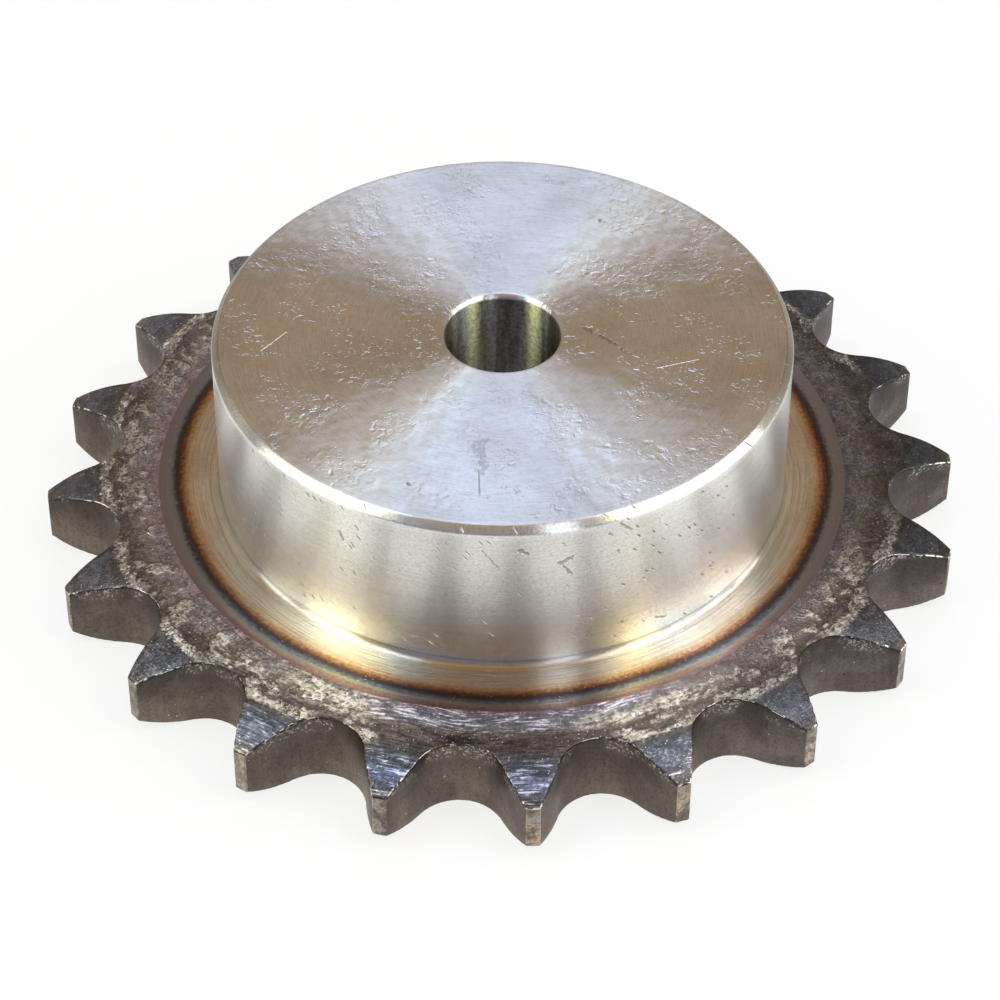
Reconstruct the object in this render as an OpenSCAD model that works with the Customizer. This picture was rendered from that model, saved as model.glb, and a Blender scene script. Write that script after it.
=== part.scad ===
// Plate sprocket with a hub on one side, for simplex roller chain.
// It is turned from one piece of steel, and its teeth are then cut and hardened.
// The axis of the bore is Z, the flat back face lies on z = 0, and the hub points up.

/* [Chain] */
// Pitch of the chain, from one roller to the next
chain_pitch = 19.05; // [17.5:0.05:25.4]
// Diameter of the chain's rollers
roller_d = 12.07; // [9:0.01:13]

/* [Teeth] */
// Number of teeth
teeth = 20; // [18:1:45]
// Thickness of the toothed plate
plate_t = 10.9; // [6:0.1:18]
// How far the tooth tips stand outside the pitch circle
tip_rise = 3.5; // [2:0.1:4.2]
// Width of the tooth gaps, from the smallest (0) to the largest (1) that the standard allows
gap_form = 0.65; // [0:0.05:1]
// Width of the relief turned on both sides of the teeth, measured inwards from the tips
relief_w = 7.4; // [2:0.1:8]
// Depth of that relief at the tips
relief_depth = 1.9; // [0.5:0.1:2.8]

/* [Hub] */
// Diameter of the hub
hub_d = 80; // [50:0.5:90]
// Length of the sprocket through the bore, plate and hub together
length = 35.5; // [24:0.5:80]
// Chamfer round the end of the hub
hub_chamfer = 1; // [0.2:0.1:4]
// Radius left by the tool where the hub meets the plate
hub_fillet = 1; // [0.2:0.1:3]

/* [Bore] */
// Diameter of the pilot bore
bore_d = 16; // [8:0.1:40]
// Chamfer at both ends of the bore
bore_chamfer = 0.5; // [0.2:0.1:2]

/* [Hidden] */
$fn = 144;

// Overlap that a cutter needs to break through a face cleanly
cut = 1;
// Depth that a flank's arc is sunk into the seat, so that the two cross and don't just touch
flank_sink = 0.02;
// Distance past the seat at which a cutter's corner lies, well inside the tooth
flank_in = 2;

// Pitch circle, on which the centres of the chain's rollers lie
gap_angle = 360 / teeth;
pitch_r = chain_pitch / (2 * sin(gap_angle / 2));
tip_r = pitch_r + tip_rise;

// Smallest and largest tooth gap of ISO 606: seat radius, seat angle and flank radius
seat_r_range = [0.505 * roller_d, 0.505 * roller_d + 0.069 * pow(roller_d, 1 / 3)];
seat_angle_range = [140 - 90 / teeth, 120 - 90 / teeth];
flank_r_range = [0.12 * roller_d * (teeth + 2), 0.008 * roller_d * (teeth * teeth + 180)];

// Value that lies at the share gap_form of a range
function by_form(range) = range[0] + gap_form * (range[1] - range[0]);

seat_r = by_form(seat_r_range);
seat_angle = by_form(seat_angle_range);
flank_r = by_form(flank_r_range);

// The side relief is an arc whose radius is the pitch, as ISO 606 gives it
relief_r = chain_pitch;
relief_start_r = tip_r - relief_w;

// Half section of the hub with its chamfer, and of the fillet at its foot
module hub_section() {
    hub_r = hub_d / 2;
    polygon([[0, 0], [hub_r, 0], [hub_r, length - hub_chamfer], [hub_r - hub_chamfer, length], [0, length]]);
    translate([hub_r, plate_t]) difference() {
        square(hub_fillet);
        translate([hub_fillet, hub_fillet]) circle(r = hub_fillet);
    }
}

// Corner that the relief takes off the rim of the plate, on the side of the hub
module relief_corner() {
    chord = norm([relief_w, relief_depth]);
    to_centre = sqrt(pow(relief_r, 2) - pow(chord / 2, 2));
    centre_r = relief_start_r + relief_w / 2 - to_centre * relief_depth / chord;
    centre_z = plate_t - relief_depth / 2 - to_centre * relief_w / chord;
    difference() {
        translate([relief_start_r, plate_t - relief_depth]) square([relief_w + cut, relief_depth + cut]);
        translate([centre_r, centre_z]) circle(r = relief_r);
    }
}

// Half section of the plate, relieved alike on both sides
module plate_section() {
    difference() {
        square([tip_r, plate_t]);
        relief_corner();
        translate([0, plate_t]) mirror([0, 1]) relief_corner();
    }
}

// Point on the line from the centre of a seat through the end of its arc
function on_seat_line(distance) = [pitch_r - distance * cos(seat_angle / 2), distance * sin(seat_angle / 2)];

// Outline of one gap: a seat for the roller, and a convex flank on each side of it
module gap_outline() {
    tooth_axis = [tip_r, tip_r * tan(gap_angle / 2)];
    half_mouth = [on_seat_line(seat_r + flank_in), tooth_axis, tooth_axis + [cut, 0]];
    other_half = [for (i = [len(half_mouth) - 1 : -1 : 0]) [half_mouth[i].x, -half_mouth[i].y]];
    flank_centre = on_seat_line(seat_r + flank_r - flank_sink);
    translate([pitch_r, 0]) circle(r = seat_r);
    difference() {
        polygon(concat([[pitch_r, 0]], half_mouth, other_half));
        for (side = [-1, 1])
            translate([flank_centre.x, side * flank_centre.y]) circle(r = flank_r);
    }
}

// The first gap lies half a tooth from the X axis, so that a tooth points along it
module tooth_gaps() {
    for (i = [0 : teeth - 1])
        rotate((i + 0.5) * gap_angle)
            translate([0, 0, -cut]) linear_extrude(plate_t + 2 * cut) gap_outline();
}

// Through bore, with a chamfer at each end
module bore() {
    translate([0, 0, -cut]) cylinder(d = bore_d, h = length + 2 * cut);
    for (end = [0, 1])
        translate([0, 0, end * length]) mirror([0, 0, end]) translate([0, 0, -cut])
            cylinder(r1 = bore_d / 2 + bore_chamfer + cut, r2 = bore_d / 2, h = bore_chamfer + cut);
}

module sprocket() {
    color("dimgray") difference() {
        union() {
            rotate_extrude() hub_section();
            rotate_extrude() plate_section();
        }
        tooth_gaps();
        bore();
    }
}

sprocket();
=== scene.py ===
import math

import bmesh
import bpy
from mathutils import Matrix, Vector
from mathutils import noise as noise_field


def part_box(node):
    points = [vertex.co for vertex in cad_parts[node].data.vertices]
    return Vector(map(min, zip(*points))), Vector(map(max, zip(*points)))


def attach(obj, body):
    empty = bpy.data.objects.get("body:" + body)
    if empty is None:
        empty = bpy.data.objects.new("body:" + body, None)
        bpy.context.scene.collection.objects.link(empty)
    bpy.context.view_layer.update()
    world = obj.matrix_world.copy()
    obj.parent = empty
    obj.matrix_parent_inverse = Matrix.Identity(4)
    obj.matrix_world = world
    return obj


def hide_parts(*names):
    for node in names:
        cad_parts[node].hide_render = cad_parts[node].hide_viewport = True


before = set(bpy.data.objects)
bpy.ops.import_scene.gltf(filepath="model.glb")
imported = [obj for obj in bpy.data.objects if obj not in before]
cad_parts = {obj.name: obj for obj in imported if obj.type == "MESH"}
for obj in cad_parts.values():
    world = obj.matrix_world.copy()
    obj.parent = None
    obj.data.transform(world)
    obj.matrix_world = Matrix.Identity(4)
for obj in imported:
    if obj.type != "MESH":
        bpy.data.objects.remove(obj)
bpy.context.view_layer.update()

# Toothed plate. It is a disc of carbon steel, turned on both faces and relieved towards the rim, into
# which the gaps for the chain's rollers are hobbed. The teeth are hardened by induction, which leaves
# scale on them and a band of temper colours short of the hub. Lengths are in millimetres.
millimetre = 0.001
cad_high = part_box("sprocket")[1] / millimetre
teeth = 20
chain_pitch = 19.05
roller_d = 12.07
gap_form = 0.65
flank_sink = 0.02
plate_t = 10.9
relief_w = 7.4
relief_depth = 1.9
hub_d = 80.0
hub_fillet = 1.0
temper_r = 48.6

pitch_angle = math.tau / teeth
pitch_r = chain_pitch / (2 * math.sin(pitch_angle / 2))
tip_r = cad_high.x
relief_start_r = tip_r - relief_w
hub_r = hub_d / 2
hub_foot_r = hub_r + hub_fillet


def by_form(smallest, largest):
    """Value between those of the smallest and the largest gap of ISO 606"""
    return smallest + gap_form * (largest - smallest)


seat_r = by_form(0.505 * roller_d, 0.505 * roller_d + 0.069 * roller_d ** (1 / 3))
half_seat = math.radians(by_form(140 - 90 / teeth, 120 - 90 / teeth)) / 2
flank_r = by_form(0.12 * roller_d * (teeth + 2), 0.008 * roller_d * (teeth ** 2 + 180))
seat_centre = Vector((pitch_r, 0, 0))
seat_line = Vector((-math.cos(half_seat), math.sin(half_seat), 0))
flank_start = seat_centre + seat_line * (seat_r - flank_sink)
flank_centre = flank_start + seat_line * flank_r

# The relief is an arc whose radius is the pitch, through the face at its start and the rim at its depth
relief_chord = math.hypot(relief_w, relief_depth)
to_centre = math.sqrt(chain_pitch ** 2 - (relief_chord / 2) ** 2)
relief_centre_r = relief_start_r + relief_w / 2 - to_centre * relief_depth / relief_chord
relief_centre_depth = relief_depth / 2 + to_centre * relief_w / relief_chord

# How finely the seat, half a tooth and the relief are divided
seat_steps = 7
tooth_steps = 4
relief_rows = 9


def swing(bm, vertex, centre, angle, steps, axis="Z"):
    """Turns a vertex about a centre, and returns the vertices of the arc that it draws"""
    arc = [vertex]
    turn = Matrix.Rotation(angle / steps, 3, axis)
    for _ in range(steps):
        arc += bmesh.ops.extrude_vert_indiv(bm, verts=arc[-1:])["verts"]
        bmesh.ops.rotate(bm, verts=arc[-1:], cent=centre, matrix=turn)
    return arc


def on_circle(bm, radius):
    """Edges that lie along this radius"""
    return [e for e in bm.edges if all(abs(v.co.xy.length - radius) < 0.01 for v in e.verts)]


def span(bm, lines, rows):
    """Fills the space between two lines of edges with this many rows of faces"""
    faces = bmesh.ops.bridge_loops(bm, edges=lines)["faces"]
    ends = set(lines)
    rails = dict.fromkeys(e for f in faces for e in f.edges if e not in ends)
    bmesh.ops.subdivide_edges(bm, edges=list(rails), cuts=rows - 1)


def flank_turn(vertex, radius):
    """Angle about the flank's centre that brings a vertex out to this radius"""
    arm = flank_centre.length

    def bearing(r):
        return math.acos((arm ** 2 + flank_r ** 2 - r ** 2) / (2 * arm * flank_r))

    return bearing(radius) - bearing(vertex.co.length)


def to_tooth_axis(vertex):
    """Angle about the bore from a vertex to the middle of its tooth"""
    return pitch_angle / 2 - math.atan2(vertex.co.y, vertex.co.x)


def relief_drop(radius):
    """How far the side relief lies below the plate's face at this radius"""
    if radius <= relief_start_r:
        return 0.0
    return max(0.0, relief_centre_depth - math.sqrt(chain_pitch ** 2 - (radius - relief_centre_r) ** 2))


def plate_face(rings):
    """One face of the toothed plate, flat, with this many rows of faces inside the teeth"""
    # Half a tooth: the seat up to the relief, and the tip
    bm = bmesh.new()
    to_relief = math.acos((pitch_r ** 2 + seat_r ** 2 - relief_start_r ** 2) / (2 * pitch_r * seat_r))
    seat = swing(bm, bm.verts.new(seat_centre - Vector((seat_r, 0, 0))), seat_centre, -to_relief, seat_steps)
    swing(bm, seat[-1], (0, 0, 0), to_tooth_axis(seat[-1]), tooth_steps)
    corner = bm.verts.new(flank_start)
    turn = Matrix.Rotation(flank_turn(corner, tip_r), 3, "Z")
    bmesh.ops.rotate(bm, verts=[corner], cent=flank_centre, matrix=turn)
    swing(bm, corner, (0, 0, 0), to_tooth_axis(corner), tooth_steps)

    # The relief between them, whose open side is brought onto the seat and the flank
    span(bm, on_circle(bm, relief_start_r) + on_circle(bm, tip_r), relief_rows)
    for v in bm.verts:
        if relief_start_r + 0.01 < v.co.length < tip_r - 0.01 and v.is_boundary and to_tooth_axis(v) > 0.001:
            on_seat = v.co.length < flank_start.length
            centre, arc_r = (seat_centre, seat_r) if on_seat else (flank_centre, flank_r)
            v.co = centre + (v.co - centre).normalized() * arc_r

    # The flat of the plate, from the teeth inwards to the hub
    outline = on_circle(bm, relief_start_r) + [e for e in bm.edges if e.is_wire]
    for radius, rows in ((temper_r, rings), (hub_foot_r, rings // 2)):
        swing(bm, bm.verts.new((radius, 0, 0)), (0, 0, 0), pitch_angle / 2, seat_steps + tooth_steps)
        span(bm, outline + on_circle(bm, radius), rows)
        outline = on_circle(bm, radius)

    bmesh.ops.mirror(bm, geom=bm.verts[:] + bm.edges[:] + bm.faces[:], axis="Y", merge_dist=0.001)
    bmesh.ops.spin(bm, geom=bm.verts[:] + bm.edges[:] + bm.faces[:], cent=(0, 0, 0), axis=(0, 0, 1),
                   angle=math.tau - pitch_angle, steps=teeth - 1, use_duplicate=True)
    bmesh.ops.rotate(bm, verts=bm.verts, cent=(0, 0, 0), matrix=Matrix.Rotation(pitch_angle / 2, 3, "Z"))
    bmesh.ops.remove_doubles(bm, verts=bm.verts, dist=0.001)
    return bm


def join(bm, other):
    """Adds another mesh to this one"""
    carrier = bpy.data.meshes.new("carrier")
    other.to_mesh(carrier)
    other.free()
    bm.from_mesh(carrier)
    bpy.data.meshes.remove(carrier)


body = plate_face(rings=16)
for v in body.verts:
    v.co.z = plate_t - relief_drop(v.co.xy.length)
back = plate_face(rings=4)
for v in back.verts:
    v.co.z = relief_drop(v.co.xy.length)
join(body, back)
# Walls of the gaps and the tips, between the rims of the two faces
span(body, [e for e in body.edges if e.is_boundary and e.verts[0].co.xy.length > hub_foot_r + 1], rows=8)


def put(tree, kind, inputs={}, **options):
    """Adds a node with these options, and fills its inputs with values or links"""
    node = tree.nodes.new("ShaderNode" + kind)
    for name, value in options.items():
        setattr(node, name, value)
    for name, value in inputs.items():
        if isinstance(value, bpy.types.NodeSocket):
            tree.links.new(value, node.inputs[name])
        else:
            node.inputs[name].default_value = value
    return node


def maths(tree, operation, *values):
    """Sum, product or other operation on numbers"""
    return put(tree, "Math", dict(enumerate(values)), operation=operation).outputs[0]


def vectors(tree, operation, *values):
    """Sum, product or other operation on vectors"""
    return put(tree, "VectorMath", dict(enumerate(values)), operation=operation).outputs[0]


def fade(tree, value, low, high):
    """0 below one value and 1 past the other, with a smooth change between them"""
    return put(tree, "MapRange", {"Value": value, "From Min": low, "From Max": high},
               interpolation_type="SMOOTHSTEP").outputs[0]


def noise(tree, vector, scale, detail=2.0, roughness=0.5, space="3D"):
    """Random pattern with values about 0.5"""
    return put(tree, "TexNoise", {"Vector": vector, "Scale": scale, "Detail": detail, "Roughness": roughness},
               noise_dimensions=space).outputs["Fac"]


def blend(tree, share, first, second, mode="MIX"):
    """Mixes two colours, or two numbers given as colours"""
    node = put(tree, "Mix", {0: share}, data_type="RGBA", blend_type=mode)
    for socket, value in ((node.inputs[6], first), (node.inputs[7], second)):
        if isinstance(value, bpy.types.NodeSocket):
            tree.links.new(value, socket)
        else:
            socket.default_value = (*value, 1)
    return node.outputs[2]


def ramp(tree, value, low, high, stops):
    """Colour ramp whose stops are given at values from low to high"""
    node = put(tree, "ValToRGB", {0: put(tree, "MapRange", {"Value": value, "From Min": low,
                                                            "From Max": high}).outputs[0]})
    while len(node.color_ramp.elements) < len(stops):
        node.color_ramp.elements.new(0.5)
    for element, (place, colour) in zip(node.color_ramp.elements, stops):
        element.position = (place - low) / (high - low)
        element.color = (*colour, 1)
    return node.outputs[0]


# Azimuths run in degrees about the bore, from the side that is photographed, and are positive to its right
turn = math.radians(-3.81)
front = Vector((math.sin(turn), -math.cos(turn), 0))
right_hand = Vector((math.cos(turn), math.sin(turn), 0))


class Steel:
    """Metal shader with the places on the sprocket that its colours are laid out by, in millimetres"""

    def __init__(self, name, roughness, anisotropic):
        self.material = bpy.data.materials.new(name)
        self.material.use_nodes = True
        self.tree = self.material.node_tree
        self.shader = self.tree.nodes["Principled BSDF"]
        self.shader.inputs["Metallic"].default_value = 1
        self.shader.inputs["Roughness"].default_value = roughness
        self.shader.inputs["Anisotropic"].default_value = anisotropic
        tree = self.tree
        metres = put(tree, "TexCoord").outputs["Object"]
        self.place = vectors(tree, "MULTIPLY", metres, (1000, 1000, 1000))
        flat = vectors(tree, "MULTIPLY", self.place, (1, 1, 0))
        self.radius = put(tree, "VectorMath", {0: flat}, operation="LENGTH").outputs["Value"]
        parts = put(tree, "SeparateXYZ", {0: self.place})
        self.height = parts.outputs[2]
        self.outward = vectors(tree, "NORMALIZE", flat)
        self.bearing = maths(tree, "ARCTAN2", parts.outputs[1], parts.outputs[0])
        sideways = put(tree, "VectorMath", {0: flat, 1: right_hand}, operation="DOT_PRODUCT").outputs["Value"]
        forwards = put(tree, "VectorMath", {0: flat, 1: front}, operation="DOT_PRODUCT").outputs["Value"]
        self.azimuth = maths(tree, "MULTIPLY", maths(tree, "ARCTAN2", sideways, forwards), 180 / math.pi)
        if anisotropic:
            around = vectors(tree, "CROSS_PRODUCT", (0, 0, 1), self.place)
            normal = put(tree, "NewGeometry").outputs["Normal"]
            self.connect(vectors(tree, "CROSS_PRODUCT", normal, around), "Tangent")

    def connect(self, output, name):
        self.tree.links.new(output, self.shader.inputs[name])

    def around(self, turns, along):
        """Vector that changes slowly round the axis, and fast across the lines that the tool leaves"""
        across = maths(self.tree, "MULTIPLY", maths(self.tree, "ADD", self.radius, self.height), along)
        slow = vectors(self.tree, "MULTIPLY", self.outward, (turns, turns, 0))
        return vectors(self.tree, "ADD", slow, put(self.tree, "CombineXYZ", {2: across}).outputs[0])

    def relief(self, *layers):
        """Bump of several layers, each a height from 0 to 1 with its depth in millimetres"""
        total = 0.0
        for height, depth in layers:
            total = maths(self.tree, "MULTIPLY_ADD", height, depth, total)
        bump = put(self.tree, "Bump", {"Height": total, "Distance": millimetre, "Strength": 1.0})
        self.connect(bump.outputs[0], "Normal")


def pits(tree, place, scale, size, share, space="3D"):
    """Spots of this size in some of the cells of a random pattern: 1 at the middle, 0 outside"""
    cells = put(tree, "TexVoronoi", {"Vector": place, "Scale": scale}, voronoi_dimensions=space)
    spot = maths(tree, "SUBTRACT", 1.0, fade(tree, cells.outputs["Distance"], size / 4, size))
    chance = put(tree, "SeparateColor", {0: cells.outputs["Color"]}).outputs[0]
    return maths(tree, "MULTIPLY", spot, maths(tree, "LESS_THAN", chance, share))


def stroke(tree, place, start, end, width):
    """A line from one point to another: 1 on the line, 0 outside its width"""
    along = Vector(end) - Vector(start)
    from_start = vectors(tree, "SUBTRACT", place, start)
    reach = put(tree, "VectorMath", {0: from_start, 1: along / along.length_squared}, operation="DOT_PRODUCT")
    share = put(tree, "Math", {0: reach.outputs["Value"], 1: 0.0}, operation="ADD", use_clamp=True).outputs[0]
    foot = put(tree, "VectorMath", {0: along, "Scale": share}, operation="SCALE").outputs[0]
    off = put(tree, "VectorMath", {0: from_start, 1: foot}, operation="DISTANCE").outputs["Value"]
    return maths(tree, "SUBTRACT", 1.0, fade(tree, off, width / 4, width / 2))


def both(tree, *shares):
    """Product of several shares"""
    total = shares[0]
    for share in shares[1:]:
        total = maths(tree, "MULTIPLY", total, share)
    return total


def either(tree, *shares):
    """Largest of several shares"""
    total = shares[0]
    for share in shares[1:]:
        total = maths(tree, "MAXIMUM", total, share)
    return total


def within(tree, value, low, high, soft):
    """1 between two values, and 0 past them, with soft ends"""
    return both(tree, fade(tree, value, low - soft, low + soft), fade(tree, value, high + soft, high - soft))


def mixed(tree, share, first, second):
    """Goes from one number to another as the share goes from 0 to 1"""
    return put(tree, "Mix", {0: share, 2: first, 3: second}).outputs[0]


def shade(tree, share, colour, factor):
    """Multiplies a colour by this factor where the share is 1"""
    return blend(tree, share, colour, blend(tree, 1.0, colour, factor, "MULTIPLY"))


def temper(steel):
    """Radius that the colours of the heat follow, which wanders a little round the plate"""
    wander = noise(steel.tree, steel.outward, 2.6, detail=2.0, space="2D")
    ragged = noise(steel.tree, steel.place, 1.7, detail=1.0, space="2D")
    wander = maths(steel.tree, "MULTIPLY_ADD", ragged, 0.8, maths(steel.tree, "MULTIPLY", wander, 0.9))
    return maths(steel.tree, "ADD", steel.radius, maths(steel.tree, "SUBTRACT", wander, 0.8))


# Faces of the toothed rim, hardened and covered with scale. Their colour runs from purple brown at the
# ring to blue grey at the tips.
scaled = Steel("scaled_steel", roughness=0.48, anisotropic=0.8)
tree = scaled.tree
at_tooth = maths(tree, "COSINE", maths(tree, "MULTIPLY", scaled.bearing, float(teeth)))
worn_r = maths(tree, "SUBTRACT", temper(scaled), 0.05)
from_front = maths(tree, "ABSOLUTE", scaled.azimuth)
in_front = fade(tree, from_front, 45.0, 18.0)
scale_colour = ramp(tree, worn_r, 48.0, 64.5, [
    (48.0, (0.32, 0.22, 0.19)), (48.4, (0.26, 0.17, 0.165)), (48.8, (0.235, 0.175, 0.175)),
    (49.6, (0.205, 0.17, 0.165)), (51.0, (0.225, 0.19, 0.175)), (52.6, (0.185, 0.155, 0.13)),
    (53.6, (0.13, 0.105, 0.09)), (56.0, (0.115, 0.09, 0.08)), (57.4, (0.10, 0.095, 0.095)),
    (59.0, (0.105, 0.11, 0.12)), (60.4, (0.125, 0.13, 0.15)), (61.8, (0.13, 0.135, 0.16)),
    (63.2, (0.12, 0.115, 0.12)), (64.4, (0.15, 0.14, 0.13))])

# Patterns of the scale: clouds, blotches drawn out round the plate, fine speckle, crumbs and streaks
cloud = noise(tree, scaled.place, 0.18, detail=2.0, roughness=0.6, space="2D")
drawn = vectors(tree, "ADD", vectors(tree, "MULTIPLY", scaled.outward, (30, 30, 0)),
                put(tree, "CombineXYZ", {2: scaled.radius}).outputs[0])
blotch = noise(tree, drawn, 0.8, detail=3.0, roughness=0.7)
speckle = noise(tree, scaled.place, 2.1, detail=2.0, roughness=0.75, space="2D")
crumbs = put(tree, "TexVoronoi", {"Vector": vectors(tree, "ADD", scaled.place, speckle), "Scale": 2.4},
             voronoi_dimensions="2D")
crumb = put(tree, "SeparateColor", {0: crumbs.outputs["Color"]})
ripple = maths(tree, "MULTIPLY_ADD", scaled.radius, 2.8, maths(tree, "MULTIPLY", at_tooth, 1.2))
streak_place = vectors(tree, "ADD", vectors(tree, "MULTIPLY", scaled.outward, (15, 15, 0)),
                       put(tree, "CombineXYZ", {2: ripple}).outputs[0])
streak = noise(tree, streak_place, 1.0, detail=2.0, roughness=0.75)

# Pale grit lies in an arch behind each tooth, in two drifts beside the front, and in loose patches
arch_foot = maths(tree, "MULTIPLY_ADD", cloud, 2.6, maths(tree, "MULTIPLY_ADD", at_tooth, 0.7, 53.3))
beside_front = fade(tree, maths(tree, "ABSOLUTE", maths(tree, "SUBTRACT", scaled.azimuth, 4.0)), 7.0, 13.0)
worn_right = maths(tree, "MULTIPLY_ADD", fade(tree, scaled.azimuth, 30.0, 40.0), -0.4, 1.0)
arch = both(tree, fade(tree, worn_r, arch_foot, maths(tree, "ADD", arch_foot, 0.4)),
            fade(tree, worn_r, 57.1, 56.4), fade(tree, at_tooth, -0.75, 0.0), beside_front, worn_right,
            fade(tree, noise(tree, scaled.outward, 2.3, detail=1.0), 0.38, 0.47))
cream_left = both(tree, within(tree, scaled.azimuth, -33.0, -20.0, 4.0),
                  within(tree, worn_r, 49.0, 53.2, 0.6))
cream_right = both(tree, within(tree, scaled.azimuth, 12.0, 33.0, 4.0),
                   within(tree, worn_r, 50.5, 52.8, 0.6))
cream = both(tree, either(tree, cream_left, cream_right), fade(tree, blotch, 0.34, 0.48))
patch = both(tree, within(tree, worn_r, 50.4, 54.6, 0.6), fade(tree, cloud, 0.49, 0.55),
             fade(tree, blotch, 0.38, 0.52), fade(tree, from_front, 14.0, 22.0),
             fade(tree, scaled.azimuth, 78.0, 62.0))
bed = either(tree, arch, cream, both(tree, patch, 0.6))
rough_grain = either(tree, fade(tree, speckle, 0.48, 0.62), both(tree, fade(tree, streak, 0.48, 0.60), 0.7))
grainy = both(tree, bed, maths(tree, "ADD", fade(tree, crumb.outputs[0], 0.30, 0.95), rough_grain))

# Scale between the ring and the teeth: in front a painted reflection makes it lighter and blue, and it is
# smoky behind the front gap
painted_front_reflection = both(tree, fade(tree, from_front, 34.0, 16.0), within(tree, worn_r, 48.7, 52.1, 0.4))
front_glint_zone = both(tree, in_front, either(tree, painted_front_reflection, fade(tree, worn_r, 57.2, 58.6)))
smoky = both(tree, fade(tree, from_front, 12.0, 6.0), within(tree, worn_r, 52.8, 56.0, 0.5))
colour = shade(tree, painted_front_reflection, scale_colour, (1.15, 1.30, 1.55))
colour = shade(tree, smoky, colour, (0.85, 0.8, 0.8))
colour = shade(tree, both(tree, fade(tree, speckle, 0.42, 0.62), 0.6), colour, (0.50, 0.46, 0.44))
colour = shade(tree, fade(tree, blotch, 0.42, 0.62), colour, (1.35, 1.30, 1.25))
# Painted reflection: the front teeth are lighter and bluer towards their tips
painted_tip_reflection = both(tree, in_front, fade(tree, scaled.azimuth, 17.0, 11.0),
                 within(tree, worn_r, 60.0, 62.8, 0.6))
colour = shade(tree, painted_tip_reflection, colour, (1.5, 1.55, 1.75))
colour = shade(tree, both(tree, fade(tree, crumb.outputs[1], 0.5, 1.0), 0.6), colour, (1.8, 1.76, 1.72))

# Streaks and speckle painted bright as glints, strongest in front, and dark streaks. The scale on the right
# and on the far left has fewer streaks.
far_left = fade(tree, scaled.azimuth, -45.0, -60.0)
on_left = both(tree, fade(tree, scaled.azimuth, 15.0, 9.0), maths(tree, "SUBTRACT", 1.0, far_left))
colour = shade(tree, far_left, colour, (1.14, 1.12, 1.11))
painted_glints = mixed(tree, either(tree, on_left, painted_front_reflection), fade(tree, speckle, 0.52, 0.60),
               fade(tree, streak, 0.52, 0.60))
painted_glints = both(tree, painted_glints, fade(tree, blotch, 0.40, 0.54), maths(tree, "MULTIPLY_ADD", front_glint_zone, 0.8, 0.2))
colour = shade(tree, painted_glints, colour, (3.4, 3.5, 3.9))
dark_streak = both(tree, fade(tree, streak, 0.50, 0.40), maths(tree, "MULTIPLY_ADD", on_left, 0.65, 0.15))
colour = shade(tree, dark_streak, colour, (0.55, 0.53, 0.53))

# Grit, bright dust and specks over the scale, painted glints on the streaks in front, and the dark nick
# beside a front gap
grit_colour = blend(tree, fade(tree, blotch, 0.40, 0.60), (0.53, 0.46, 0.38), (0.88, 0.80, 0.66))
grit_share = maths(tree, "MULTIPLY_ADD", far_left, -0.32, 0.74)
grit_share = both(tree, grainy, maths(tree, "MULTIPLY_ADD", cream_left, 0.16, grit_share))
grit_share = maths(tree, "MINIMUM", grit_share, 1.0)
colour = blend(tree, grit_share, colour, grit_colour)
dust = both(tree, pits(tree, scaled.place, 1.4, 0.16, 0.35, "2D"),
            fade(tree, noise(tree, scaled.place, 0.31, detail=1.0, space="2D"), 0.48, 0.60))
specks_and_glints = either(tree, dust, both(tree, bed, fade(tree, crumb.outputs[2], 0.90, 0.93)),
                both(tree, front_glint_zone, fade(tree, streak, 0.63, 0.67), fade(tree, blotch, 0.46, 0.56)))
colour = blend(tree, both(tree, specks_and_glints, 0.85), colour, (0.95, 0.95, 0.95))
nick = stroke(tree, scaled.place, (-10.0, -53.1, plate_t), (-8.0, -53.7, plate_t), 2.6)
nick = both(tree, nick, fade(tree, speckle, 0.58, 0.50))
colour = blend(tree, both(tree, nick, 0.9), colour, (0.03, 0.03, 0.03))

# Painted shade darkens the right side, and cools it near the ring
colour = shade(tree, fade(tree, scaled.azimuth, 45.0, 85.0), colour, (0.62, 0.66, 0.66))
colour = shade(tree, within(tree, scaled.azimuth, 34.0, 46.0, 6.0), colour, (0.72, 0.72, 0.74))
colour = shade(tree, both(tree, fade(tree, scaled.azimuth, 40.0, 65.0), fade(tree, worn_r, 49.4, 48.6)),
               colour, (0.76, 0.86, 0.96))
scaled.connect(colour, "Base Color")
scaled.connect(maths(tree, "SUBTRACT", 1.0, both(tree, grit_share, 0.5)), "Metallic")
scaled.connect(maths(tree, "MULTIPLY_ADD", bed, 0.12, 0.42), "Roughness")
scaled.relief((cloud, 0.25), (bed, 0.22), (streak, 0.09), (speckle, 0.08), (nick, -0.4))

# Walls of the tooth gaps, as hobbed and then darkened by the heat, with grit and a dark line below the rim
cut = Steel("cut_steel", roughness=0.5, anisotropic=0.0)
tree = cut.tree
cloud = noise(tree, cut.place, 0.16, detail=2.0, roughness=0.5)
speckle = noise(tree, cut.place, 2.3, detail=2.0, roughness=0.7)
hobbed = noise(tree, vectors(tree, "MULTIPLY", cut.place, (1.6, 1.6, 0.25)), 1.0, detail=2.0)
colour = blend(tree, fade(tree, cut.height, 9.5, 1.5), (0.09, 0.073, 0.062), (0.155, 0.122, 0.10))
colour = shade(tree, fade(tree, cloud, 0.40, 0.62), colour, (1.45, 1.47, 1.45))
colour = shade(tree, fade(tree, cut.azimuth, 20.0, 45.0), colour, (0.92, 0.97, 1.12))
colour = shade(tree, fade(tree, hobbed, 0.42, 0.66), colour, (0.90, 0.89, 0.88))
colour = shade(tree, both(tree, fade(tree, speckle, 0.46, 0.64), 0.6), colour, (0.62, 0.58, 0.55))
grit = both(tree, fade(tree, cut.height, 7.6, 9.6), fade(tree, cloud, 0.46, 0.54),
            fade(tree, speckle, 0.52, 0.62))
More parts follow.
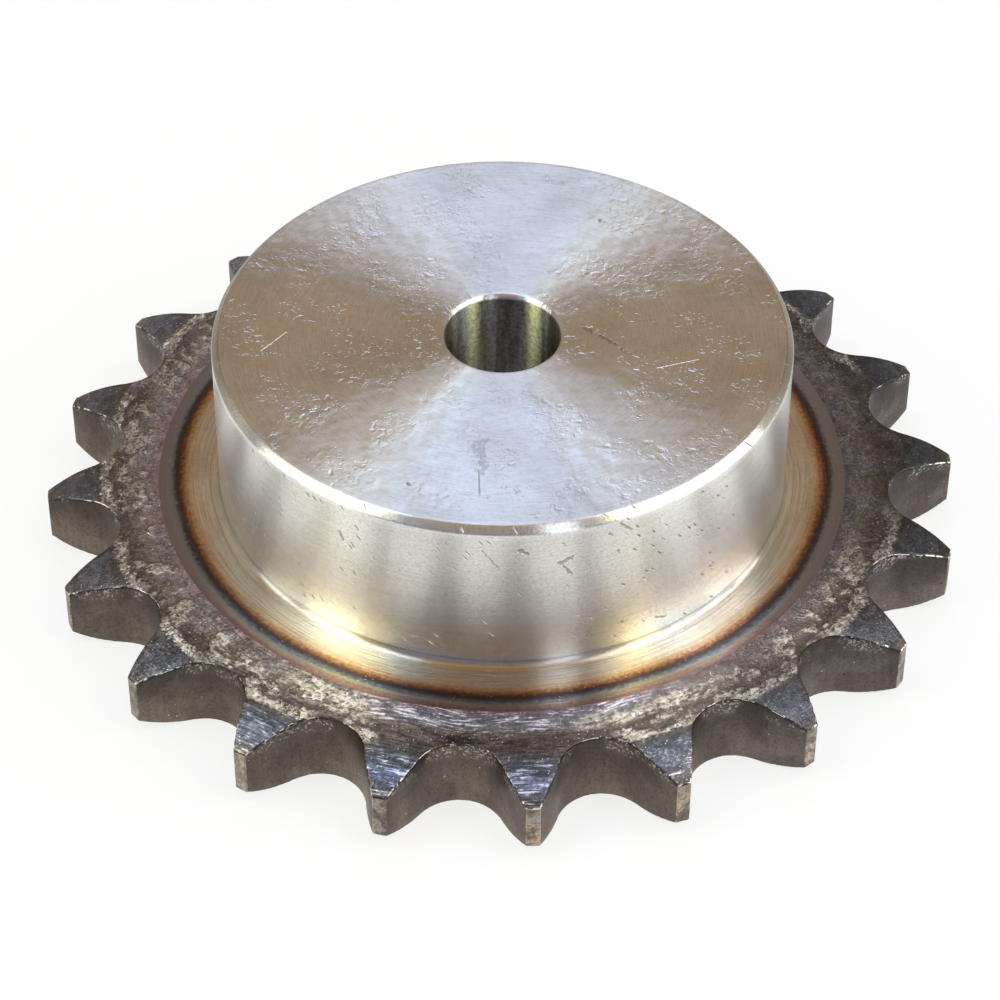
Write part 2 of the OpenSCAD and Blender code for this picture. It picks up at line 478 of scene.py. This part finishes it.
specks = both(tree, pits(tree, cut.place, 0.9, 0.14, 0.35), fade(tree, cloud, 0.45, 0.55))
grit = either(tree, both(tree, specks, 0.7), both(tree, grit, 0.42))
colour = blend(tree, grit, colour, (0.88, 0.83, 0.75))
colour = blend(tree, both(tree, pits(tree, cut.place, 0.5, 0.14, 0.3), 0.8), colour, (0.04, 0.035, 0.03))

# Depth below the relieved rim, along which the dark line runs
from_centre = maths(tree, "SUBTRACT", cut.radius, relief_centre_r)
arc = maths(tree, "SUBTRACT", chain_pitch ** 2, maths(tree, "POWER", from_centre, 2.0))
rim = maths(tree, "MINIMUM", maths(tree, "SUBTRACT", maths(tree, "SQRT", arc), relief_centre_depth), 0.0)
below_rim = maths(tree, "SUBTRACT", maths(tree, "ADD", rim, plate_t), cut.height)
dark_line = both(tree, fade(tree, below_rim, 0.60, 0.25), fade(tree, speckle, 0.62, 0.50))
cut.connect(blend(tree, both(tree, dark_line, 0.85), colour, (0.03, 0.027, 0.025)), "Base Color")
cut.relief((cloud, 0.25), (speckle, 0.035))

# Tips of the teeth, which are the turned outside of the disc, with some rust in front
tips = Steel("turned_tips", roughness=0.30, anisotropic=1.0)
tree = tips.tree
cloud = noise(tree, tips.place, 0.5, detail=3.0)
speckle = noise(tree, tips.place, 2.3, detail=2.0, roughness=0.7)
colour = blend(tree, fade(tree, cloud, 0.38, 0.60), (0.20, 0.17, 0.14), (0.40, 0.35, 0.30))
colour = shade(tree, fade(tree, speckle, 0.46, 0.64), colour, (0.6, 0.57, 0.54))
rust = both(tree, fade(tree, cloud, 0.42, 0.54), fade(tree, speckle, 0.62, 0.42),
            fade(tree, tips.height, 7.5, 5.0), within(tree, tips.azimuth, -6.0, 48.0, 4.0))
tips.connect(blend(tree, both(tree, rust, 0.8), colour, (0.58, 0.42, 0.26)), "Base Color")
tips.connect(maths(tree, "SUBTRACT", 1.0, both(tree, rust, 0.7)), "Metallic")
tips.relief((cloud, 0.05), (speckle, 0.02))

# Broken edges, dark with scale where they aren't worn bright
edge = Steel("worn_edge", roughness=0.4, anisotropic=0.0)
tree = edge.tree
burr = both(tree, fade(tree, noise(tree, edge.place, 0.35), 0.46, 0.56),
            fade(tree, noise(tree, edge.place, 1.6), 0.42, 0.56))
edge.connect(blend(tree, burr, (0.06, 0.053, 0.048), (0.9, 0.83, 0.73)), "Base Color")

# Hub. It is turned in one piece with the plate: a cylinder with a chamfered end, a small fillet that
# the tool leaves at its foot, and a drilled pilot bore with a chamfer at each end.
length = cad_high.z
hub_chamfer = 1.0
bore_r = 8.0
bore_chamfer = 0.5


def turn_to(bm, vertex, r, z, steps):
    """Draws the half section on from a vertex, in a straight line of this many parts"""
    start = vertex.co.copy()
    for i in range(1, steps + 1):
        vertex = bmesh.ops.extrude_vert_indiv(bm, verts=[vertex])["verts"][0]
        vertex.co = start.lerp(Vector((r, 0, z)), i / steps)
    return vertex


# Half section from the fillet over the wall, the end and the bore to the back face, turned about the axis
section = bmesh.new()
foot = section.verts.new((hub_foot_r, 0, plate_t))
fillet = swing(section, foot, (hub_foot_r, 0, plate_t + hub_fillet), math.pi / 2, 5, axis="Y")
point = turn_to(section, fillet[-1], hub_r, length - hub_chamfer, 24)
point = turn_to(section, point, hub_r - hub_chamfer, length, 3)
point = turn_to(section, point, bore_r + bore_chamfer, length, 50)
point = turn_to(section, point, bore_r, length - bore_chamfer, 2)
point = turn_to(section, point, bore_r, bore_chamfer, 12)
point = turn_to(section, point, bore_r + bore_chamfer, 0, 2)
turn_to(section, point, hub_foot_r, 0, 8)
bmesh.ops.spin(section, geom=section.verts[:] + section.edges[:], cent=(0, 0, 0), axis=(0, 0, 1),
               angle=math.tau, steps=2 * teeth * (seat_steps + tooth_steps), use_merge=True)
join(body, section)
bmesh.ops.remove_doubles(body, verts=body.verts, dist=0.001)
bmesh.ops.recalc_face_normals(body, faces=body.faces)

def turned(name, colour, roughness, stained):
    """Steel as the lathe leaves it. Returns it with its colour and the layers of its relief, which hold
    the lines of the tool, and stains that darken it by this share"""
    steel = Steel(name, roughness, anisotropic=1.0)
    tree = steel.tree
    lines = noise(tree, steel.around(2.0, 3.0), 1.0, detail=1.0)
    fine_lines = noise(tree, steel.around(8.0, 7.0), 1.0, detail=0.0)
    stain = noise(tree, steel.place, 0.09, detail=1.0)
    grain = noise(tree, steel.place, 1.9, detail=1.0, roughness=0.7)
    colour = shade(tree, both(tree, fade(tree, stain, 0.35, 0.7), stained), colour, (0.88, 0.86, 0.84))
    colour = shade(tree, both(tree, fade(tree, fine_lines, 0.42, 0.66), stained), colour, (0.90, 0.895, 0.89))
    colour = shade(tree, both(tree, fade(tree, grain, 0.50, 0.70), stained), colour, (0.90, 0.90, 0.92))
    steel.connect(maths(tree, "MULTIPLY_ADD", stain, 0.06, roughness), "Roughness")
    return steel, colour, [(lines, 0.004), (fine_lines, 0.002), (grain, 0.0045)]


# End of the hub: faced, then dented in swarms of small marks, with some scratches and a smudge
end, colour, tooling = turned("hub_end", (0.75, 0.72, 0.69), roughness=0.27, stained=1.0)
tree = end.tree
crowd = noise(tree, end.place, 0.13, detail=1.0, space="2D")
warp = put(tree, "TexNoise", {"Vector": end.place, "Scale": 0.7, "Detail": 1.0}, noise_dimensions="2D")
warp = warp.outputs["Color"]
warped = vectors(tree, "ADD", end.place, vectors(tree, "MULTIPLY", warp, (1.6, 1.6, 0)))
crowd = fade(tree, crowd, 0.42, 0.58)
dents = both(tree, crowd, either(tree, pits(tree, warped, 0.55, 0.34, 0.25, "2D"),
                                 both(tree, pits(tree, warped, 1.3, 0.30, 0.5, "2D"), 0.6)))
swell = noise(tree, end.place, 0.38, detail=1.0, space="2D")
ripple = both(tree, maths(tree, "ADD", crowd, 0.25), noise(tree, end.place, 0.95, detail=2.0, space="2D"))

bright_marks = either(tree,
                      stroke(tree, end.place, (20.6, -8.9, length), (26.2, -7.5, length), 0.35),
                      stroke(tree, end.place, (8.5, -1.5, length), (9.7, -1.55, length), 0.4),
                      stroke(tree, end.place, (-33.1, -2.1, length), (-29.6, 1.7, length), 0.3))
torn = noise(tree, end.place, 1.3, detail=1.0, space="2D")
scrape = either(tree, stroke(tree, end.place, (11.35, 0.35, length), (14.4, -2.5, length), 0.9),
                stroke(tree, end.place, (14.4, -2.5, length), (16.8, -5.4, length), 0.9))
scratch = stroke(tree, end.place, (-4.9, -28.3, length), (-5.1, -32.7, length), 0.25)
dark_marks = either(tree, both(tree, scrape, fade(tree, torn, 0.38, 0.56), 0.6), both(tree, scratch, 0.8),
                    stroke(tree, end.place, (15.4, 24.0, length), (15.5, 24.3, length), 0.6),
                    stroke(tree, end.place, (-14.3, -30.1, length), (-14.2, -30.4, length), 0.6))

smudge_place = vectors(tree, "ADD", end.place, vectors(tree, "MULTIPLY", warp, (2.4, 2.4, 0)))
smudge = either(tree, stroke(tree, smudge_place, (-3.3, -21.4, length), (-3.1, -24.2, length), 2.6),
                stroke(tree, smudge_place, (-3.1, -24.2, length), (-3.5, -27.0, length), 1.5))
dark = either(tree, dark_marks, both(tree, smudge, fade(tree, torn, 0.22, 0.42), 0.5))
colour = blend(tree, both(tree, dark, 0.65), colour, (0.14, 0.12, 0.11))
end.connect(blend(tree, both(tree, bright_marks, 0.6), colour, (0.95, 0.95, 0.95)), "Base Color")
harm = either(tree, bright_marks, both(tree, dark_marks, 0.5))
end.relief(*tooling, (swell, 0.05), (ripple, 0.03), (dents, -0.03), (harm, -0.05))

# Wall of the hub and its chamfer, with nicks, and with gouges given by azimuth, height and width
wall, colour, tooling = turned("hub_wall", (0.93, 0.93, 0.88), roughness=0.22, stained=0.6)
tree = wall.tree
degree = hub_r * math.tau / 360
unrolled = put(tree, "CombineXYZ", {0: maths(tree, "MULTIPLY", wall.azimuth, degree), 1: wall.height})
unrolled = unrolled.outputs[0]
slant = put(tree, "CombineXYZ", {0: maths(tree, "MULTIPLY_ADD", wall.azimuth, degree * 1.3, wall.height),
                                 1: maths(tree, "MULTIPLY", wall.height, 0.45)}).outputs[0]
nicks = both(tree, fade(tree, noise(tree, unrolled, 0.12, space="2D"), 0.46, 0.60),
             pits(tree, slant, 0.75, 0.17, 0.4, "2D"))
wall_strokes = [((11.0, 29.0), (13.4, 29.9), 0.6), ((11.0, 29.0), (13.2, 26.9), 0.4),
                ((3.4, 31.9), (4.7, 31.2), 0.7), ((-3.6, 31.8), (-0.4, 28.6), 0.22),
                ((22.6, 34.0), (25.0, 32.4), 0.4), ((-32.2, 29.5), (-31.6, 28.4), 0.5),
                ((20.6, 32.6), (20.9, 32.3), 0.5), ((22.3, 29.2), (22.5, 29.0), 0.5),
                ((23.5, 22.8), (23.9, 22.6), 0.5), ((31.0, 14.4), (33.5, 13.8), 0.4)]
ragged = put(tree, "TexNoise", {"Vector": unrolled, "Scale": 1.6, "Detail": 2.0}, noise_dimensions="2D")
ragged = vectors(tree, "SUBTRACT", ragged.outputs["Color"], (0.5, 0.5, 0.5))
torn_place = vectors(tree, "ADD", unrolled, vectors(tree, "MULTIPLY", ragged, (0.6, 0.6, 0)))
gouges = either(tree, *(stroke(tree, torn_place, (a0 * degree, z0, 0), (a1 * degree, z1, 0), width)
                        for (a0, z0), (a1, z1), width in wall_strokes))
dots = both(tree, pits(tree, unrolled, 1.3, 0.13, 0.35, "2D"),
            fade(tree, noise(tree, unrolled, 0.16, detail=1.0, space="2D"), 0.50, 0.60))
grain = noise(tree, vectors(tree, "MULTIPLY", unrolled, (1, 2.2, 1)), 2.0, detail=1.0, space="2D")
colour = shade(tree, both(tree, fade(tree, grain, 0.46, 0.60), 0.5), colour, (0.80, 0.79, 0.78))
# Painted shade: the chamfer is darkened at the sides
painted_chamfer_shade = both(tree, fade(tree, maths(tree, "ABSOLUTE", wall.azimuth), 60.0, 80.0),
            fade(tree, wall.height, length - hub_chamfer - 0.1, length - hub_chamfer + 0.1))
colour = shade(tree, painted_chamfer_shade, colour, (0.46, 0.42, 0.38))
harm = either(tree, both(tree, gouges, 0.7), nicks, dots)
wall.connect(blend(tree, both(tree, harm, 0.65), colour, (0.14, 0.12, 0.11)), "Base Color")
wall.relief(*tooling, (either(tree, gouges, nicks), -0.10))

# Bright ring of the plate round the hub, with the temper colours from straw to blue at its outer side
ring, colour, tooling = turned("plate_ring", (0.78, 0.75, 0.71), roughness=0.24, stained=1.0)
tree = ring.tree
tint = ramp(tree, temper(ring), 41.0, 49.0, [
    (41.0, (1, 1, 0.98)), (42.6, (1.0, 0.97, 0.92)), (43.6, (0.98, 0.90, 0.80)), (44.3, (0.94, 0.75, 0.56)),
    (44.8, (0.80, 0.52, 0.33)), (45.2, (0.52, 0.29, 0.17)), (45.6, (0.27, 0.14, 0.09)),
    (46.0, (0.12, 0.085, 0.105)), (46.4, (0.14, 0.145, 0.19)), (46.8, (0.26, 0.30, 0.35)),
    (47.2, (0.43, 0.44, 0.42)), (47.6, (0.51, 0.42, 0.35)), (48.0, (0.44, 0.30, 0.27)),
    (48.4, (0.35, 0.24, 0.235)), (48.8, (0.33, 0.255, 0.26))])
colour = blend(tree, 1.0, tint, colour, "MULTIPLY")
grooves = noise(tree, ring.around(3.0, 5.0), 1.0, detail=2.0, roughness=0.8)
colour = shade(tree, both(tree, fade(tree, grooves, 0.44, 0.60), 0.8), colour, (0.76, 0.74, 0.72))
# Painted highlight tint: a straw colour where the lamps' highlights fall on the ring, either side of the
# front
painted_highlight_tint = both(tree, within(tree, maths(tree, "ABSOLUTE", ring.azimuth), 20.0, 31.0, 5.0), 0.8)
colour = shade(tree, painted_highlight_tint, colour, (0.86, 0.80, 0.62))
# Painted shade: the outer temper bands are darkened at the sides
sides = fade(tree, maths(tree, "ABSOLUTE", ring.azimuth), 45.0, 70.0)
painted_side_shade = both(tree, sides, fade(tree, temper(ring), 46.5, 47.1), 0.85)
colour = blend(tree, painted_side_shade, colour, (0.27, 0.26, 0.31))
foot_line = within(tree, ring.radius, hub_foot_r + 0.25, hub_foot_r + 0.4, 0.1)
colour = blend(tree, both(tree, foot_line, 0.25), colour, (0.14, 0.12, 0.11))
specks = both(tree, pits(tree, ring.place, 1.1, 0.12, 0.3, "2D"),
              fade(tree, noise(tree, ring.place, 0.3, space="2D"), 0.46, 0.6))
ring.connect(blend(tree, both(tree, specks, 0.5), colour, (0.95, 0.95, 0.95)), "Base Color")
ring.relief(*tooling, (grooves, 0.004))

# Bore, drilled and left dull, with two pale bands of painted highlight
bored = Steel("bored_steel", roughness=0.42, anisotropic=1.0)
tree = bored.tree
streak = noise(tree, vectors(tree, "MULTIPLY", bored.place, (1.2, 1.2, 0.12)), 1.0, detail=3.0)
mottle = noise(tree, bored.place, 1.8, detail=3.0, roughness=0.7)
# Painted highlight: two pale yellow bands on the far side of the bore
painted_bore_glint = within(tree, maths(tree, "ABSOLUTE", bored.azimuth), 141.0, 153.0, 7.0)
colour = blend(tree, fade(tree, streak, 0.38, 0.62), (0.24, 0.235, 0.22), (0.38, 0.37, 0.33))
colour = blend(tree, both(tree, painted_bore_glint, 0.75), colour, (0.95, 0.94, 0.56))
colour = shade(tree, fade(tree, mottle, 0.40, 0.64), colour, (0.60, 0.60, 0.58))
bored.connect(colour, "Base Color")
bored.relief((mottle, 0.02), (streak, 0.02))

# Whole sprocket. Plate and hub are one piece of steel. Its sharp edges are broken a little, and the
# hardening leaves an uneven crust on the rim's upper side, thickest in a ridge where the relief begins.
edge_break = 0.15
swell_height = 0.07
ridge_height = 0.12
ridge_r = 55.9
ridge_sway = 0.6
ridge_width = 0.8

sharp = [e for e in body.edges if e.calc_face_angle(0) > math.radians(30)]
bmesh.ops.bevel(body, geom=sharp, offset=edge_break, offset_type="OFFSET", segments=2, profile=0.5,
                affect="EDGES", clamp_overlap=True, material=-1)


def crust(place):
    """Height of the crust at a place on the plate's face: low swells, and a ridge before each tooth"""
    r = place.xy.length
    at_tooth = math.cos(teeth * math.atan2(place.y, place.x))
    swell = swell_height * noise_field.noise(place * 0.3)
    ridge = math.exp(-((r - ridge_r - ridge_sway * at_tooth) / ridge_width) ** 2) * (0.5 + 0.5 * at_tooth)
    ridge *= ridge_height * (0.6 + 1.5 * noise_field.noise(place * 0.12))
    return min(1.0, max(0.0, (r - temper_r) / 3)) * (swell + ridge)


for v in body.verts:
    if v.co.z > plate_t / 2 and v.co.xy.length > temper_r:
        v.co.z += crust(v.co.copy()) * (v.co.z / plate_t - 0.5) * 2

steels = (end, wall, ring, scaled, cut, bored, tips, edge)


def steel_of(face):
    """Kind of steel that a face shows, by its place and by the way it looks"""
    middle = face.calc_center_median()
    r, z = middle.xy.length, middle.z
    if r < bore_r + 0.01:
        return bored
    if z > plate_t and r < hub_r + 0.01:
        return end if r < hub_r - hub_chamfer else wall
    if r < temper_r:
        return ring
    facing = abs(face.normal.z)
    if facing > 0.86:
        return scaled
    if facing > 0.2:
        return edge
    return tips if r > tip_r - 0.1 else cut


for f in body.faces:
    f.smooth = True
    f.material_index = steels.index(steel_of(f))

# The finished mesh is brought to metres
bmesh.ops.scale(body, verts=body.verts, vec=(millimetre, millimetre, millimetre))
mesh = bpy.data.meshes.new("sprocket_body")
body.to_mesh(mesh)
body.free()
for steel in steels:
    mesh.materials.append(steel.material)
sprocket = bpy.data.objects.new("sprocket_body", mesh)
bpy.context.scene.collection.objects.link(sprocket)
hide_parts("sprocket")
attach(sprocket, "root")

# Floor. It is a wide sheet of matt white paper, which the sprocket stands on and casts its shadow on.
# It shows as plain white in the picture and in the steel.
half_floor = 3
white_share = 0.8

floor_bm = bmesh.new()
bmesh.ops.create_grid(floor_bm, x_segments=1, y_segments=1, size=half_floor)
floor_mesh = bpy.data.meshes.new("floor")
floor_bm.to_mesh(floor_mesh)
floor_bm.free()
floor = bpy.data.objects.new("floor", floor_mesh)
bpy.context.scene.collection.objects.link(floor)
white = bpy.data.materials.new("white_floor")
white.use_nodes = True
tree = white.node_tree
paper = tree.nodes["Principled BSDF"]
paper.inputs["Base Color"].default_value = (0.93, 0.93, 0.93, 1)
paper.inputs["Roughness"].default_value = 0.9
seen = put(tree, "LightPath").outputs
seen = either(tree, seen["Is Camera Ray"], seen["Is Glossy Ray"], seen["Is Transmission Ray"])
glow = put(tree, "Emission", {"Color": (1, 1, 1, 1), "Strength": 1.0}).outputs[0]
surface = put(tree, "MixShader", {0: both(tree, seen, white_share), 1: paper.outputs[0], 2: glow}).outputs[0]
tree.links.new(surface, tree.nodes["Material Output"].inputs["Surface"])
floor_mesh.materials.append(white)

# Camera. It stands half a metre from the sprocket, in front of it and above, and is turned a little to
# one side and rolled a little. Its focal length and its shift are in pixels of the picture.
elevation = math.radians(42.69)
roll = math.radians(0.252)
distance = 0.5045
picture = 1000
focal_length = 3500
sensor = 36

camera_data = bpy.data.cameras.new("camera")
camera = bpy.data.objects.new("camera", camera_data)
bpy.context.scene.collection.objects.link(camera)
forward = Vector((0, math.cos(elevation), -math.sin(elevation)))
up = Vector((0, math.sin(elevation), math.cos(elevation)))
right = Vector((1, 0, 0))
rolled_right = right * math.cos(roll) + up * math.sin(roll)
rolled_up = up * math.cos(roll) - right * math.sin(roll)
axes = Matrix((rolled_right, rolled_up, -forward)).transposed().to_4x4()
camera.matrix_world = Matrix.Rotation(turn, 4, "Z") @ Matrix.Translation(-forward * distance) @ axes
camera_data.sensor_width = sensor
camera_data.lens = focal_length / picture * sensor
camera_data.shift_x = -1.75 / picture
camera_data.shift_y = 22.5 / picture
bpy.context.scene.camera = camera

# Lamps. The sprocket stands on a table between two wide softboxes, under cool lamps on the ceiling,
# in a room with warm walls that is darker in front. Each lamp's last values are its red, green and blue.
world = bpy.data.worlds.new("studio")
bpy.context.scene.world = world
world.use_nodes = True
tree = world.node_tree
outlook = put(tree, "TexCoord").outputs["Generated"]
outlook = put(tree, "VectorRotate", {"Vector": outlook, "Angle": -turn}, rotation_type="Z_AXIS")
room = put(tree, "SeparateXYZ", {0: outlook.outputs[0]})
walls = blend(tree, fade(tree, room.outputs[1], 0.0, 0.35), (0.17, 0.18, 0.30), (0.45, 0.40, 0.32))
walls = blend(tree, fade(tree, room.outputs[1], 0.55, 0.75), walls, (0.42, 0.32, 0.22))
sky = blend(tree, fade(tree, room.outputs[2], 0.70, 0.80), walls, (0.46, 0.29, 0.06))
tree.links.new(sky, tree.nodes["Background"].inputs["Color"])


def softbox(name, azimuths, heights, radiance):
    """Rectangular lamp a metre from the sprocket that fills these angles, in degrees: azimuths run from the
    camera's side and are positive to its right"""
    azimuth = math.radians(sum(azimuths) / 2) + turn
    height = math.radians(sum(heights) / 2)
    lamp_data = bpy.data.lights.new(name, "AREA")
    lamp_data.shape = "RECTANGLE"
    lamp_data.size = 2 * math.tan(math.radians(azimuths[1] - azimuths[0]) / 2) * math.cos(height)
    lamp_data.size_y = 2 * math.tan(math.radians(heights[1] - heights[0]) / 2)
    brightest = max(radiance)
    lamp_data.color = [c / brightest for c in radiance]
    lamp_data.energy = math.pi * lamp_data.size * lamp_data.size_y * brightest
    lamp = bpy.data.objects.new(name, lamp_data)
    bpy.context.scene.collection.objects.link(lamp)
    level = Vector((math.sin(azimuth), -math.cos(azimuth), 0))
    place = level * math.cos(height) + Vector((0, 0, math.sin(height)))
    lamp.location = place
    lamp.rotation_euler = (-place).to_track_quat("-Z", "Y").to_euler()


softbox("softbox_left", (-75, -50), (6, 56), (3.2, 3.1, 2.1))
softbox("softbox_left_edge", (-96, -75), (6, 56), (1.7, 1.8, 1.5))
softbox("strip_right", (16, 28), (6, 56), (1.4, 1.6, 1.9))
softbox("softbox_right", (44, 58), (6, 56), (2.9, 2.8, 2.0))
softbox("softbox_right_middle", (58, 90), (6, 56), (1.8, 2.0, 2.1))
softbox("softbox_right_edge", (90, 105), (6, 56), (2.9, 2.8, 2.7))
softbox("ceiling_left", (-112, -68), (58, 76), (2.2, 3.5, 5.0))
softbox("ceiling_right", (68, 112), (58, 76), (2.6, 2.9, 3.4))
softbox("ceiling_back_right", (150, 167), (50, 76), (0.3, 1.0, 2.2))
softbox("ceiling_back", (167, 193), (50, 76), (1.5, 2.3, 3.6))
softbox("ceiling_back_left", (193, 210), (50, 76), (1.0, 1.5, 2.4))
softbox("ceiling_top_right", (68, 112), (76, 89), (1.0, 0.5, 0.3))

bpy.context.scene.view_settings.view_transform = "Standard"
